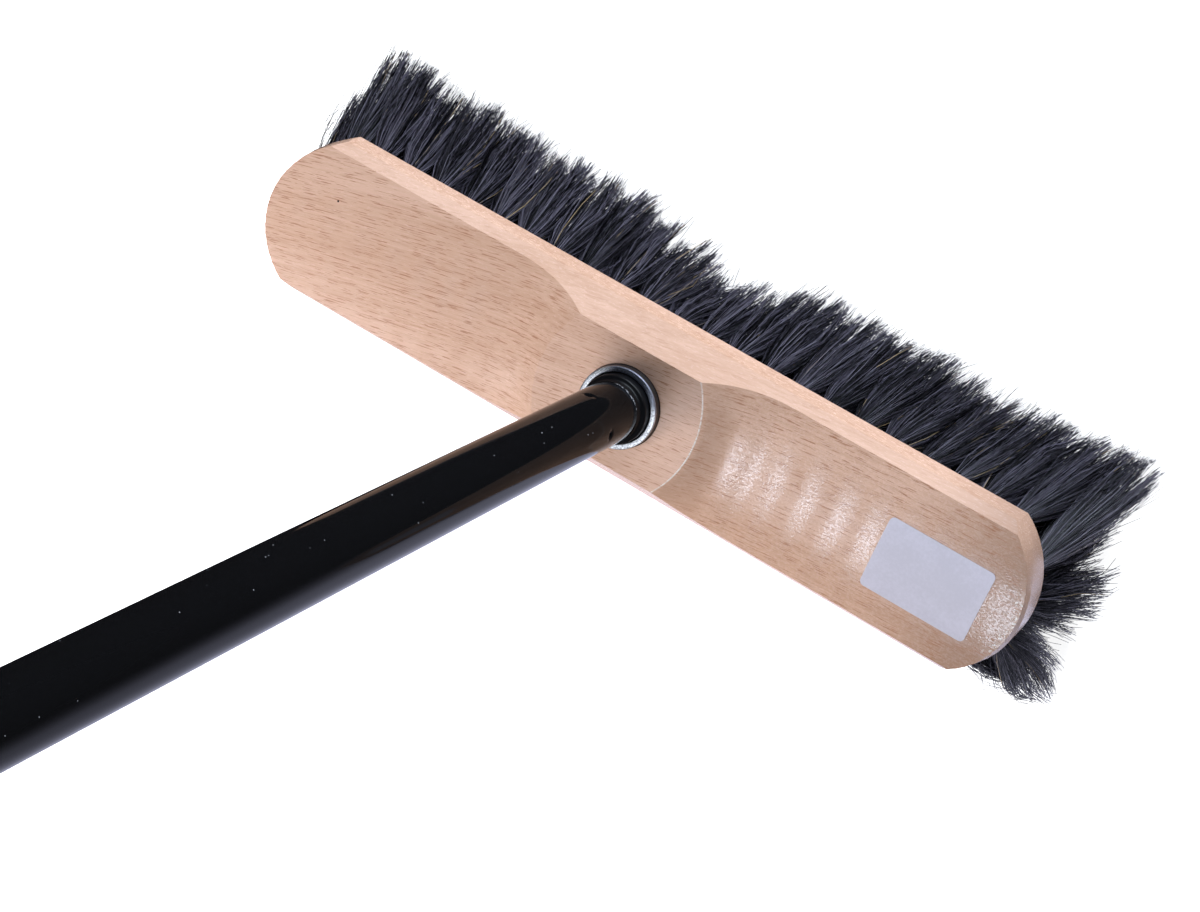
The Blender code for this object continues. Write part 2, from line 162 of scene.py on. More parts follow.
class BeechSettings(PropertyGroup):
    """Sizes and colours of the beech block."""

    edge_radius: length("Edge radius", "Rounding of the milled edges", 0.00045)
    hole_radius: length("Hole radius", "Radius of the drilled tuft holes", 0.0021)
    hole_depth: length("Hole depth", "Depth of the drilled tuft holes", 0.004)
    pad_height: length("Pad height", "Height of the middle pad above the underside", 0.025)
    ripple_pitch: length("Ripple pitch", "Step of the milling ripples along the wings", 0.0122)
    light_wood: colour("Light wood", "Pale grain", (0.73, 0.474, 0.362))
    warm_wood: colour("Warm wood", "Darker grain", (0.622, 0.382, 0.273))
    # End grain colour, also used as painted shade over the right end and the right run-out.
    end_wood_and_shade: colour("End wood", "End grain, which takes the varnish darker", (0.335, 0.208, 0.152))
    grain_slope: share("Grain slope", "Slope of the grain across the block at its middle", 0.147)
    grain_bend: share("Grain bend", "How fast the grain turns along the block, per metre", 0.39)
    fleck: colour("Fleck", "Ray flecks along the grain", (0.38, 0.165, 0.092))
    knot: colour("Pin knot", "The small dark knot in the left wing", (0.05, 0.03, 0.025))
    knot_x: length("Knot along", "Place of the pin knot along the block", -0.1246)
    knot_y: length("Knot across", "Place of the pin knot across the block", 0.011)
    # Pale colour painted as a highlight along the pad's right arc and on the drops of varnish at the
    # right end.
    painted_highlight: colour("Ridge", "Dried varnish along the pad's arc and at the right end", (0.93, 0.88, 0.86))
    arc_middle: length("Arc middle", "Middle of the pad's right arc along the block", -0.0093)
    arc_radius: length("Arc radius", "Radius of the pad's right arc", 0.038)
    end_middle: length("End middle", "Middle of the right end's arc along the block", 0.116)


class LabelSettings(PropertyGroup):
    """Sizes and colours of the blank label."""

    length: length("Length", "Size along the block", 0.0392)
    width: length("Width", "Size across the block", 0.0265)
    corner: length("Corner radius", "Rounding of its corners", 0.0018)
    thickness: length("Thickness", "Thickness of the label stock", 0.00012)
    place_x: length("Place along", "Middle of the label along the block", 0.1168)
    place_y: length("Place across", "Middle of the label across the block", -0.0014)
    paper: colour("Stock", "Pale grey label stock", (0.60, 0.575, 0.685))


class SocketSettings(PropertyGroup):
    """Sizes and colours of the galvanised socket."""

    wall: length("Wall", "Wall of the sleeve", 0.002)
    lip: length("Lip radius", "Rounding of the visible lip", 0.0004)
    zinc: colour("Zinc", "Bright zinc", (0.86, 0.88, 0.95))
    # Near black painted on the outer wall as shade.
    painted_shade_zinc: colour("Stained zinc", "Stained zinc of the outer wall", (0.07, 0.06, 0.055))
    # Painted dark reflection along the back of the lip.
    painted_reflection_zinc: colour("Dull zinc", "Duller zinc along the back of the lip", (0.30, 0.33, 0.45))


class PlugSettings(PropertyGroup):
    """Sizes of the black plug."""

    nose: length("Nose rounding", "Rounding of the lower end, inside the socket", 0.0014)
    collar: length("Collar height", "Height of the collar above the socket's lip", 0.0029)
    shoulder: length("Shoulder rounding", "Rounding of the collar", 0.0009)
    throat: length("Throat rounding", "Hollow rounding between the collar and the neck", 0.0011)
    tip: length("Tip chamfer", "Chamfer of the spigot's end, inside the tube", 0.0012)
    gap: length("Gap", "Play between the spigot or the neck and the tube", 0.0003)


class HandleSettings(PropertyGroup):
    """Sizes and colours of the handle."""

    wall: length("Wall", "Wall of the tube", 0.0005)
    cap_edge: length("Cap edge radius", "Rounding of the cap's edges", 0.0006)
    rim_roll: length("Rim roll", "Rounding of the lower rim", 0.0009)
    dimple_height: length("Dimple height", "Crimp dimples above the tube's lower end", 0.0216)
    dimple_depth: length("Dimple depth", "Depth of a crimp dimple", 0.0009)
    dimple_turn: FloatProperty(
        name="Dimple turn", description="Turn of the first dimple", default=math.radians(11),
        unit="ROTATION",
    )
    lacquer: colour("Lacquer", "Black lacquer", (0.0035, 0.0035, 0.004))
    # Also painted on the rim's +Y side, standing in for its glints.
    bare_steel: colour("Bare steel", "Steel where the lacquer is chipped, and dust", (0.85, 0.87, 0.95))
    plastic: colour("Plastic", "Black plastic", (0.004, 0.004, 0.005))


class HairSettings(PropertyGroup):
    """Sizes, counts and colours of the horsehair."""

    hairs: whole("Hairs per tuft", "Hairs in each tuft", 600)
    locks: whole("Locks per tuft", "Locks that each tuft parts into", 22)
    column_pitch: length("Column pitch", "Step of the tuft columns along the block", 0.0121)
    row_pitch: length("Row pitch", "Step of the tuft rows across the block", 0.0114)
    stagger: length("Stagger", "Step of every other row along the block", 0.003025)
    root_radius: length("Root radius", "Radius of a tuft where it leaves its hole", 0.0018)
    thickness: length("Hair thickness", "Thickness of one hair at its root", 0.00023)
    parting: share("Parting", "Share of the lean across that the hairs in the middle lack", 0.92)
    fan_x: share("Fan along", "Lean along the block at its end, per length of hair", 0.31)
    fan_y: share("Fan across", "Lean across the block at the outer row, per length of hair", 0.32)
    spread_x: length("Spread along", "Half spread of a tuft's tips along the block", 0.0092)
    spread_y: length("Spread across", "Half spread of a tuft's tips across the block", 0.0085)
    black: colour("Black hair", "Main colour", (0.0135, 0.0125, 0.017))
    # Painted violet fringe of light along the hair tips.
    tip: colour("Tips", "Violet cast of the worn tips", (0.055, 0.050, 0.095))
    brown: colour("Brown hair", "The few brown and blond hairs", (0.48, 0.36, 0.21))


class StageSettings(PropertyGroup):
    """Floor, lights and camera."""

    floor: length("Floor", "Half size of the floor", 60.0)
    floor_colour: colour("Floor colour", "Pale floor", (0.92, 0.92, 0.93))
    floor_glow: share("Floor glow", "Light that the floor gives off", 0.9)
    key_power: power("Key", "Power of the key light", 13)
    side_power: power("Side", "Power of each light at the left", 2.7)
    back_power: power("Back", "Power of the back light", 9.5)
    glint_power: power("Glint", "Power of the cool glint", 1.6)
    lens: share("Lens", "Focal length in millimetres on a 36 mm wide sensor", 81.519)


class BroomSettings(PropertyGroup):
    """All settings of the broom."""

    beech: PointerProperty(type=BeechSettings)
    label: PointerProperty(type=LabelSettings)
    socket: PointerProperty(type=SocketSettings)
    plug: PointerProperty(type=PlugSettings)
    handle: PointerProperty(type=HandleSettings)
    hair: PointerProperty(type=HairSettings)
    stage: PointerProperty(type=StageSettings)


class Value:
    """A number that varies over a surface: arithmetic on it adds Math nodes."""

    def __init__(self, finish, socket):
        self.finish = finish
        self.socket = socket

    def math(self, operation, first, second):
        return self.finish.node("ShaderNodeMath", {"operation": operation}, {0: first, 1: second})

    def __add__(self, other):
        return self.math("ADD", self, other)

    def __radd__(self, other):
        return self.math("ADD", other, self)

    def __sub__(self, other):
        return self.math("SUBTRACT", self, other)

    def __rsub__(self, other):
        return self.math("SUBTRACT", other, self)

    def __mul__(self, other):
        return self.math("MULTIPLY", self, other)

    def __rmul__(self, other):
        return self.math("MULTIPLY", other, self)

    def __truediv__(self, other):
        return self.math("DIVIDE", self, other)

    def __rtruediv__(self, other):
        return self.math("DIVIDE", other, self)


class Nodes:
    """A node tree in the making, of a material or of the world."""

    def __init__(self, tree):
        self.tree = tree
        self.ground = None

    def node(self, kind, settings=None, inputs=None, output=0):
        """Add a node: its settings first, then the values or links of its sockets."""
        node = self.tree.nodes.new(kind)
        for name, setting in (settings or {}).items():
            setattr(node, name, setting)
        for name, value in (inputs or {}).items():
            self.plug(node.inputs[name], value)
        return Value(self, node.outputs[output])

    def plug(self, socket, value):
        """Link a varying value to a socket, or set a constant on it."""
        if isinstance(value, Value):
            self.tree.links.new(value.socket, socket)
        elif hasattr(value, "__len__") and len(value) == 3 and socket.type == "RGBA":
            socket.default_value = (*value, 1)
        else:
            socket.default_value = value

    def place(self, scale, offset=(0, 0, 0)):
        """Object coordinates, or the ground that the finish follows, scaled and shifted."""
        coordinates = self.ground or self.node("ShaderNodeTexCoord", output="Object")
        return self.node(
            "ShaderNodeMapping", None, {"Vector": coordinates, "Scale": scale, "Location": offset}
        )

    def noise(self, scale, detail=2.0, roughness=0.5, offset=(0, 0, 0)):
        """Noise on object coordinates, with its scale per metre on each axis."""
        return self.node(
            "ShaderNodeTexNoise", None,
            {"Vector": self.place(scale, offset), "Scale": 1.0, "Detail": detail, "Roughness": roughness},
        )

    def cells(self, scale, offset=(0, 0, 0)):
        """Distance to the nearest scattered point and a random number for each point's cell."""
        vector = self.place(scale, offset)
        distance = self.node("ShaderNodeTexVoronoi", None, {"Vector": vector, "Scale": 1.0})
        shade = self.node("ShaderNodeTexVoronoi", None, {"Vector": vector, "Scale": 1.0}, "Color")
        return distance, self.node("ShaderNodeSeparateColor", None, {"Color": shade})

    def axis(self, axis):
        """One of the object's coordinates in metres."""
        coordinates = self.node("ShaderNodeTexCoord", output="Object")
        return self.node("ShaderNodeSeparateXYZ", None, {"Vector": coordinates}, axis)

    def sine(self, angle):
        """Sine of an angle in radians."""
        return self.node("ShaderNodeMath", {"operation": "SINE"}, {0: angle})

    def distance(self, centre, kept):
        """Distance from a centre, along the kept axes only."""
        coordinates = self.node("ShaderNodeTexCoord", output="Object")
        off = self.node("ShaderNodeVectorMath", {"operation": "SUBTRACT"}, {0: coordinates, 1: centre})
        flat = self.node("ShaderNodeVectorMath", {"operation": "MULTIPLY"}, {0: off, 1: kept})
        return self.node("ShaderNodeVectorMath", {"operation": "LENGTH"}, {0: flat}, "Value")

    def larger(self, first, second):
        """The larger of two values."""
        return self.node("ShaderNodeMath", {"operation": "MAXIMUM"}, {0: first, 1: second})

    def size_of(self, value):
        """A value without its sign."""
        return self.node("ShaderNodeMath", {"operation": "ABSOLUTE"}, {0: value})

    def facing(self, axis):
        """How much the surface faces along an axis of the object, either way."""
        normal = self.node("ShaderNodeTexCoord", output="Normal")
        part = self.node("ShaderNodeSeparateXYZ", None, {"Vector": normal}, axis)
        return self.size_of(part)

    def attribute(self, name):
        """A number stored on the piece's points."""
        return self.node("ShaderNodeAttribute", {"attribute_name": name}, None, "Fac")

    def ease(self, value, low, high):
        """0 below low and 1 above high, with a smooth step between; either may be the larger."""
        return self.node(
            "ShaderNodeMapRange", {"interpolation_type": "SMOOTHSTEP"},
            {"Value": value, "From Min": low, "From Max": high},
        )

    def mix(self, factor, first, second):
        """Mix two colours."""
        settings = {"data_type": "RGBA", "clamp_factor": True}
        return self.node("ShaderNodeMix", settings, {0: factor, 6: first, 7: second}, 2)


class Finish(Nodes):
    """One material in the making."""

    def __init__(self, name, **constants):
        self.material = bpy.data.materials.new(name)
        self.material.use_nodes = True
        super().__init__(self.material.node_tree)
        self.shader = self.tree.nodes["Principled BSDF"]
        for socket, value in constants.items():
            self.set(socket.replace("_", " "), value)

    def set(self, name, value):
        """Feed a socket of the shader."""
        self.plug(self.shader.inputs[name], value)

    def relief(self, height):
        """Bump from a height in metres."""
        self.set("Normal", self.node("ShaderNodeBump", None, {"Height": height, "Distance": 1.0}))


def beech_grain(wood, beech, upward, on_wing):
    """Colour of the bare wood: bands of grain, dark end grain, ray flecks and the pin knot; painted shade
    darkens the right end and, along with its end grain, the run-out of the right fillet.
    """
    along = wood.axis("X")
    grain = wood.noise((16, 1000, 600), 3.0, 0.65)
    broad = wood.noise((3.5, 62, 40), 2.0, 0.5, (3, 1, 7))
    tone = wood.mix(wood.ease(grain * 0.5 + broad * 0.5, 0.36, 0.64), beech.light_wood, beech.warm_wood)
    # Painted shade: the run-out of the right fillet is darkened, partly as its end grain, partly standing
    # in for the shade it lies in; the right end darkens towards its tip as painted shade.
    run_out_and_shade = wood.ease(from_arc(wood, beech), beech.arc_radius + 0.014, beech.arc_radius + 0.002)
    run_out_and_shade = run_out_and_shade * wood.ease(along, 0.0, 0.01) * on_wing
    darker = wood.larger(wood.ease(along, 0.095, 0.150) * 0.78, run_out_and_shade * 0.40)
    end_grain = wood.ease(wood.facing("X"), 0.30, 0.85)
    tone = wood.mix(wood.larger(end_grain, darker), tone, beech.end_wood_and_shade)
    dashes = wood.noise((150, 2500, 300), 2.0, 0.55, (5, 3, 1))
    streaks = wood.noise((60, 1500, 500), 2.0, 0.6, (1, 9, 4))
    flecks = wood.ease(dashes, 0.580, 0.645) * 0.75 + wood.ease(streaks, 0.50, 0.75) * 0.28
    tone = wood.mix(flecks * (0.25 + 0.75 * upward), tone, beech.fleck)
    from_knot = wood.distance((beech.knot_x, beech.knot_y, 0), (1, 1, 0))
    return wood.mix(wood.ease(from_knot, 0.00050, 0.00030) * upward, tone, beech.knot)


def from_arc(wood, beech):
    """Distance from the middle of the pad's right arc."""
    return wood.distance((beech.arc_middle, 0, 0), (1, 1, 0))


def painted_arc_highlight(wood, beech):
    """Painted highlight: a thin pale line along the pad's right arc."""
    pad = UNDERSIDE + beech.pad_height
    line = wood.ease(wood.size_of(from_arc(wood, beech) - beech.arc_radius), 0.00034, 0.00012)
    line = line * wood.ease(wood.axis("X"), 0.0, 0.002)
    return line * wood.ease(wood.axis("Z"), pad - 0.0022, pad - 0.0014)


def dabs_and_painted_glints(wood, beech):
    """Drops of varnish along the arc of the right end: raised as a bump, and painted pale as a highlight.
    """
    spots = wood.ease(wood.noise((900, 900, 500), 2.0, 0.6, (1, 4, 2)), 0.55, 0.62)
    from_end = wood.distance((beech.end_middle, 0, 0), (1, 1, 0))
    band = wood.ease(from_end, 0.0292, 0.0312)
    band = band * wood.ease(wood.axis("X"), beech.end_middle, beech.end_middle + 0.01)
    return spots * band * wood.ease(wood.size_of(wood.axis("Y") + 0.002), 0.014, 0.009)


def beech_finish(beech):
    """Varnished beech: grain along X, ray flecks, milling ripples on the wings and a speckled varnish,
    with a painted highlight along the pad's right arc and at the right end.
    """
    wood = Finish("varnished beech", IOR=1.6, Specular_Tint=(0.82, 0.88, 1.0, 1.0))
    along, across, height = wood.axis("X"), wood.axis("Y"), wood.axis("Z")
    bent = across - along * beech.grain_slope + along * along * beech.grain_bend
    wood.ground = wood.node("ShaderNodeCombineXYZ", None, {"X": along, "Y": bent, "Z": height})
    pad = UNDERSIDE + beech.pad_height
    upward = wood.ease(wood.facing("Z"), 0.82, 0.96)
    on_wing = upward * wood.ease(height, pad, pad - 0.001)
    speckle = wood.noise((980, 1350, 1200), 2.0, 0.6, (7, 7, 7))
    pores = wood.noise((420, 2600, 2200), 2.0, 0.7)
    dabs_and_glints = dabs_and_painted_glints(wood, beech)
    # Painted highlight: pale colour along the pad's right arc and on the drops of varnish at the right
    # end.
    painted_glint_mask = wood.larger(painted_arc_highlight(wood, beech) * wood.ease(speckle, 0.30, 0.55), dabs_and_glints * 0.8) * upward
    wood.set("Base Color", wood.mix(painted_glint_mask, beech_grain(wood, beech, upward, on_wing), beech.painted_highlight))
    grainy = on_wing * wood.ease(along, 0.032, 0.046)
    mottle = 0.35 + grainy * (wood.ease(speckle, 0.49, 0.59) - 0.35)
    wood.set("Roughness", 0.12 + 0.28 * wood.larger(mottle, wood.ease(pores, 0.54, 0.66)))
    drift = wood.noise((11, 14, 14), 1.0, 0.4, (2.3, 0, 0))
    ripple = wood.sine((along / beech.ripple_pitch + drift * 1.6) * TAU)
    waves = ripple * 0.000085 * on_wing + speckle * 0.00008 * grainy
    wood.relief(waves + pores * 0.00002 + dabs_and_glints * 0.00006)
    return wood.material


def label_finish(label):
    """Blank label stock with a faint fibre and a satin face."""
    stock = Finish("blank label stock", IOR=1.46)
    fibre = stock.noise((900, 900, 900), 3.0, 0.6)
    cloud = stock.noise((60, 80, 60), 2.0)
    pale = [min(1.0, part * 1.06) for part in label.paper]
    dull = [part * 0.93 for part in label.paper]
    stock.set("Base Color", stock.mix(stock.ease(fibre * 0.4 + cloud * 0.6, 0.35, 0.65), dull, pale))
    stock.set("Roughness", 0.42 + 0.12 * cloud)
    stock.relief(fibre * 0.000006)
    return stock.material


def zinc_finish(socket):
    """Galvanised steel: bright speckled lip over a wall painted near black as shade, with a painted dark
    reflection along the back of the lip.
    """
    zinc = Finish("galvanised steel", Metallic=1.0)
    speckle = zinc.noise((1700, 1700, 1700), 3.0, 0.75)
    near, chance = zinc.cells((1300, 1300, 1300))
    dark = [part * 0.30 for part in socket.zinc]
    pits = zinc.ease(near, 0.45, 0.2) * zinc.ease(chance, 0.45, 0.6)
    # Painted shade: the outer wall below the lip is painted near black.
    wall = zinc.ease(zinc.axis("Z"), SLEEVE_HIGH[2] - 0.0004, SLEEVE_HIGH[2] - 0.0010)
    shade = zinc.ease(speckle, 0.44, 0.62) * 0.55 + pits * 0.45
    # Painted dark reflection: the lip's +Y side is painted darker and bluer.
    dull = zinc.ease(zinc.axis("X") * 0.28 + zinc.axis("Y") * 0.96, 0.0075, 0.0105)
    bright = zinc.mix(dull * 0.85, socket.zinc, socket.painted_reflection_zinc)
    zinc.set("Base Color", zinc.mix(wall * 0.9, zinc.mix(shade, bright, dark), socket.painted_shade_zinc))
    zinc.set("Roughness", 0.30 + 0.35 * speckle)
    zinc.relief(speckle * 0.00006 - pits * 0.00003)
    return zinc.material


def lacquer_finish(handle):
    """Glossy black lacquer with a few specks of dust, a faint orange-peel and chipped bare steel at the
    lower rim, on its +Y side only, where it also stands in for glints.
    """
    lacquer = Finish("black lacquer", IOR=1.13)
    near, chance = lacquer.cells((330, 330, 330))
    dust = lacquer.ease(near, 0.075, 0.03) * lacquer.ease(chance, 0.80, 0.84)
    # Chipped bare steel on the rim's +Y side: wear, placed and painted pale to stand in for the rim's
    # glints.
    rim = lacquer.ease(lacquer.axis("Z"), TUBE_LOW[2] + 0.0017, TUBE_LOW[2] + 0.0009)
    rim = rim * lacquer.ease(lacquer.axis("X") * 0.42 + lacquer.axis("Y") * 0.91, 0.0086, 0.0099)
    chips_and_glints = rim * lacquer.ease(lacquer.noise((1400, 1400, 1400), 2.0, 0.6), 0.50, 0.56)
    pale = lacquer.larger(dust * 0.5, chips_and_glints)
    lacquer.set("Base Color", lacquer.mix(pale, handle.lacquer, handle.bare_steel))
    lacquer.set("Metallic", chips_and_glints * 0.8)
    lacquer.set("Roughness", 0.05 + 0.06 * lacquer.noise((40, 40, 12), 2.0) + 0.4 * dust)
    lacquer.relief(lacquer.noise((130, 130, 40), 1.0) * 0.00002)
    return lacquer.material


def plastic_finish(name, handle):
    """Moulded black plastic with a fine satin grain."""
    plastic = Finish(name, IOR=1.30)
    grain = plastic.noise((1800, 1800, 1800), 2.0, 0.6)
    worn = plastic.noise((60, 60, 60), 3.0, 0.6)
    lighter = [part * 1.5 for part in handle.plastic]
    plastic.set("Base Color", plastic.mix(plastic.ease(worn, 0.4, 0.75), handle.plastic, lighter))
    plastic.set("Roughness", 0.30 + 0.18 * worn)
    plastic.relief(grain * 0.00001)
    return plastic.material


def horsehair_finish(hair):
    """Black horsehair: each hair its own tone, some grey-blue, a few blond, and a painted violet fringe
    of light towards the tips.
    """
    strand = Finish("black horsehair", IOR=1.6, Specular_Tint=(0.92, 0.92, 1.0, 1.0))
    tone = strand.attribute("tone")
    along = strand.attribute("along")
    dark = [part * 0.12 for part in hair.black]
    light = [part * 13.0 for part in hair.black]
    black = strand.mix(strand.ease(tone, 0.40, 1.0), dark, light)
    # Painted violet fringe of light towards the tips.
    tipped = strand.mix(strand.ease(along, 0.75, 1.0) * 0.22, black, hair.tip)
    strand.set("Base Color", strand.mix(strand.ease(tone, 0.986, 0.992), tipped, hair.brown))
    shine = strand.node("ShaderNodeMath", {"operation": "FRACT"}, {0: tone * 7.3})
    strand.set("Roughness", 0.17 + 0.36 * shine)
    return strand.material


def floor_finish(stage):
    """Pale matt floor of a light table."""
    floor = Finish("pale floor", Roughness=0.9)
    mottle = floor.noise((3, 3, 3), 2.0)
    pale = [min(1.0, part * 1.03) for part in stage.floor_colour]
    floor.set("Base Color", floor.mix(mottle, stage.floor_colour, pale))
    floor.shader.inputs["Emission Color"].default_value = (1, 1, 1, 1)
    floor.shader.inputs["Emission Strength"].default_value = stage.floor_glow
    return floor.material


def add_piece(name, bm, material, body=None, nodes=(), crisp=35, keep_normals=False):
    """Make a bmesh an object at the origin that rides on its body and stands for its CAD nodes."""
    if not keep_normals:
        bmesh.ops.recalc_face_normals(bm, faces=bm.faces)
    mesh = bpy.data.meshes.new(name)
    bm.to_mesh(mesh)
    bm.free()
    return place_piece(name, mesh, material, body, nodes, crisp)


def place_piece(name, mesh, material, body=None, nodes=(), crisp=35):
    """Link a finished mesh as a piece."""
    mesh.materials.clear()
    mesh.materials.append(material)
    mesh.shade_smooth()
    mesh.set_sharp_from_angle(angle=math.radians(crisp))
    obj = bpy.data.objects.new(name, mesh)
    bpy.context.scene.collection.objects.link(obj)
    if body:
        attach(obj, body)
    if nodes:
        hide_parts(*nodes)
    return obj


def cad_copy(node):
    """A bmesh copy of a CAD node, merged and with its flat faces joined."""
    bm = bmesh.new()
    bm.from_mesh(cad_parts[node].data)
    bmesh.ops.remove_doubles(bm, verts=bm.verts, dist=MERGE)
    bmesh.ops.dissolve_limit(
        bm, angle_limit=math.radians(0.4), verts=bm.verts, edges=bm.edges, use_dissolve_boundaries=False
    )
    return bm


def round_edges(bm, angle, radius, segments=3):
    """Bevel every edge that turns by more than an angle in degrees."""
    least = math.radians(angle)
    sharp = [edge for edge in bm.edges if edge.is_manifold and edge.calc_face_angle() > least]
    bmesh.ops.bevel(
        bm, geom=sharp, offset=radius, segments=segments, profile=0.5, affect="EDGES",
        offset_type="OFFSET", clamp_overlap=True, material=-1,
    )


def spun(profile, steps, closed=False):
    """Spin a profile of (radius, height) points round the handle's axis."""
    bm = bmesh.new()
    verts = [bm.verts.new((radius, 0, height)) for radius, height in profile]
    edges = [bm.edges.new(pair) for pair in zip(verts, verts[1:])]
    if closed:
        edges.append(bm.edges.new((verts[-1], verts[0])))
    bmesh.ops.spin(
        bm, geom=verts + edges, cent=(0, 0, 0), axis=(0, 0, 1), angle=TAU, steps=steps, use_merge=True
    )
    bmesh.ops.remove_doubles(bm, verts=bm.verts, dist=MERGE)
    return bm


def arc(centre, radius, start, end, steps):
    """Points of an arc in degrees, both ends included."""
    turns = [math.radians(start + (end - start) * i / steps) for i in range(steps + 1)]
    return [(centre[0] + radius * math.cos(turn), centre[1] + radius * math.sin(turn)) for turn in turns]


def carved(mesh_object, cutter):
    """The mesh of an object with a cutter taken out; both objects are removed."""
    boolean = mesh_object.modifiers.new("holes", "BOOLEAN")
    boolean.operation = "DIFFERENCE"
    boolean.solver = "EXACT"
    boolean.object = cutter
    graph = bpy.context.evaluated_depsgraph_get()
    mesh = bpy.data.meshes.new_from_object(mesh_object.evaluated_get(graph))
    for obj in (mesh_object, cutter):
        bpy.data.objects.remove(obj, do_unlink=True)
    return mesh


def tuft_places(hair, column):
    """Places of a column's tufts along and across the block; the end columns' rows stand closer."""
    middle = (COLUMN_COUNT - 1) / 2
    pitch = hair.row_pitch * (END_ROWS if column in END_COLUMNS else 1)
    places = []
    for row in range(-2, 3):
        step = hair.stagger if row % 2 == 0 else -hair.stagger
        places.append(((column - middle) * hair.column_pitch + step, row * pitch))
    return places


def tuft_lean(hair, column, x, y):
    """Sideways lean of a tuft per length of hair, along and across the block."""
    outer = 2 * hair.row_pitch
    parting = 1 - hair.parting * math.exp(-(((x - PARTING_MIDDLE) / PARTING_WIDTH) ** 2))
    wider = LEAN_MIDDLE + (1 - LEAN_MIDDLE) * (x / LEAN_WHOLE) ** 4
    lean_x = hair.fan_x * x / HALF_BLOCK
    lean_y = hair.fan_y * y / outer * parting * wider
    if column in END_COLUMNS:
        row = y / (outer * END_ROWS)
        lean_x *= END_LEAN_ALONG - END_ROW_DROP * row ** 2
        lean_y = hair.fan_y * (END_LEAN_RIGHT if x > 0 else END_LEAN_LEFT) * row
    return np.array([lean_x, lean_y])


def on_disc(turn, reach):
    """Points of a disc from their turns and distances from its middle."""
    return np.stack([np.cos(turn), np.sin(turn)], 1) * reach[:, None]


def held_in(path):
    """Bring points that spread past the free half size softly back towards it."""
    over = np.maximum(np.abs(path) - HAIR_FREE, 0)
    kept = np.minimum(np.abs(path), HAIR_FREE) + HAIR_SOFT * (1 - np.exp(-over / HAIR_SOFT))
    return np.sign(path) * kept


def tuft_paths(hair, column, x, y, rng):
    """Points of every hair of a tuft: the hairs gather in locks that bow and curl, a few stay loose."""
    count, locks = hair.hairs, hair.locks
    t = HAIR_STATIONS[None, :, None]
    lean = tuft_lean(hair, column, x, y) + rng.normal(0, LEAN_SCATTER, 2)
    turn, reach = rng.uniform(0, TAU, count), np.sqrt(rng.uniform(0, 1, count))
    root = on_disc(turn, reach)
    lock_turn = TAU * (np.arange(locks) * LOCK_TURN + rng.uniform())
    lock = on_disc(lock_turn, np.sqrt((np.arange(locks) + 0.5) / locks))
    lock += rng.normal(0, LOCK_SCATTER, lock.shape)
    lock_bow = rng.normal(0, LOCK_BOW, (locks, 2))
    lock_curl = rng.normal(0, LOCK_CURL, (locks, 2))
    lock_short = np.abs(rng.normal(0, LOCK_SHORT, locks))
    apart = ((root[:, None] - lock[None]) ** 2).sum(2)
    nearest = np.argmin(apart + rng.normal(0, STRAY_SCATTER, (count, locks)), 1)
    loose = np.where(rng.uniform(0, 1, count) < LOOSE_SHARE, LOOSE_REACH, 1.0)[:, None]
    spread = np.array([hair.spread_x, hair.spread_y])
    tip = lock[nearest] * spread + rng.normal(0, HAIR_SCATTER, (count, 2)) * loose
    bow = lock_bow[nearest] + rng.normal(0, HAIR_BOW, (count, 2))
    curl = lock_curl[nearest] + rng.normal(0, HAIR_CURL, (count, 2)) * loose
    short = lock_short[nearest] + rng.uniform(0, 1, count) ** 2 * HAIR_SHORT
    if column in END_COLUMNS:
        tip = tip * END_SPREAD
    path = np.array([x, y]) + root[:, None] * hair.root_radius * (1 - t) + lean * UNDERSIDE * t
    path = path + tip[:, None] * t ** FAN_POWER + bow[:, None] * np.sin(np.pi * t)
    path = path + curl[:, None] * np.sin(CURL_WAVES * np.pi * t) * t
    fall = (UNDERSIDE + HAIR_SUNK - HAIR_CLEAR - short)[:, None] * HAIR_STATIONS[None]
    return np.concatenate([held_in(path), (UNDERSIDE + HAIR_SUNK - fall)[:, :, None]], 2)


def hair_paths(hair, column):
    """Points of every hair of a column, with each hair's tone."""
    rng = np.random.default_rng(HAIR_SEED + column)
    paths, tones = [], []
    for x, y in tuft_places(hair, column):
        paths.append(tuft_paths(hair, column, x, y, rng))
        tones.append(rng.uniform(0, 1, hair.hairs))
    return np.concatenate(paths), np.concatenate(tones)


def make_hair_profile():
    """Three-sided section that the hair curves are drawn with."""
    profile = bpy.data.curves.new("hair profile", "CURVE")
    spline = profile.splines.new("POLY")
    spline.points.add(2)
    corners = [(math.cos(TAU * i / 3), math.sin(TAU * i / 3), 0, 1) for i in range(3)]
    for point, corner in zip(spline.points, corners):
        point.co = corner
    spline.use_cyclic_u = True
    return bpy.data.objects.new("hair profile", profile)


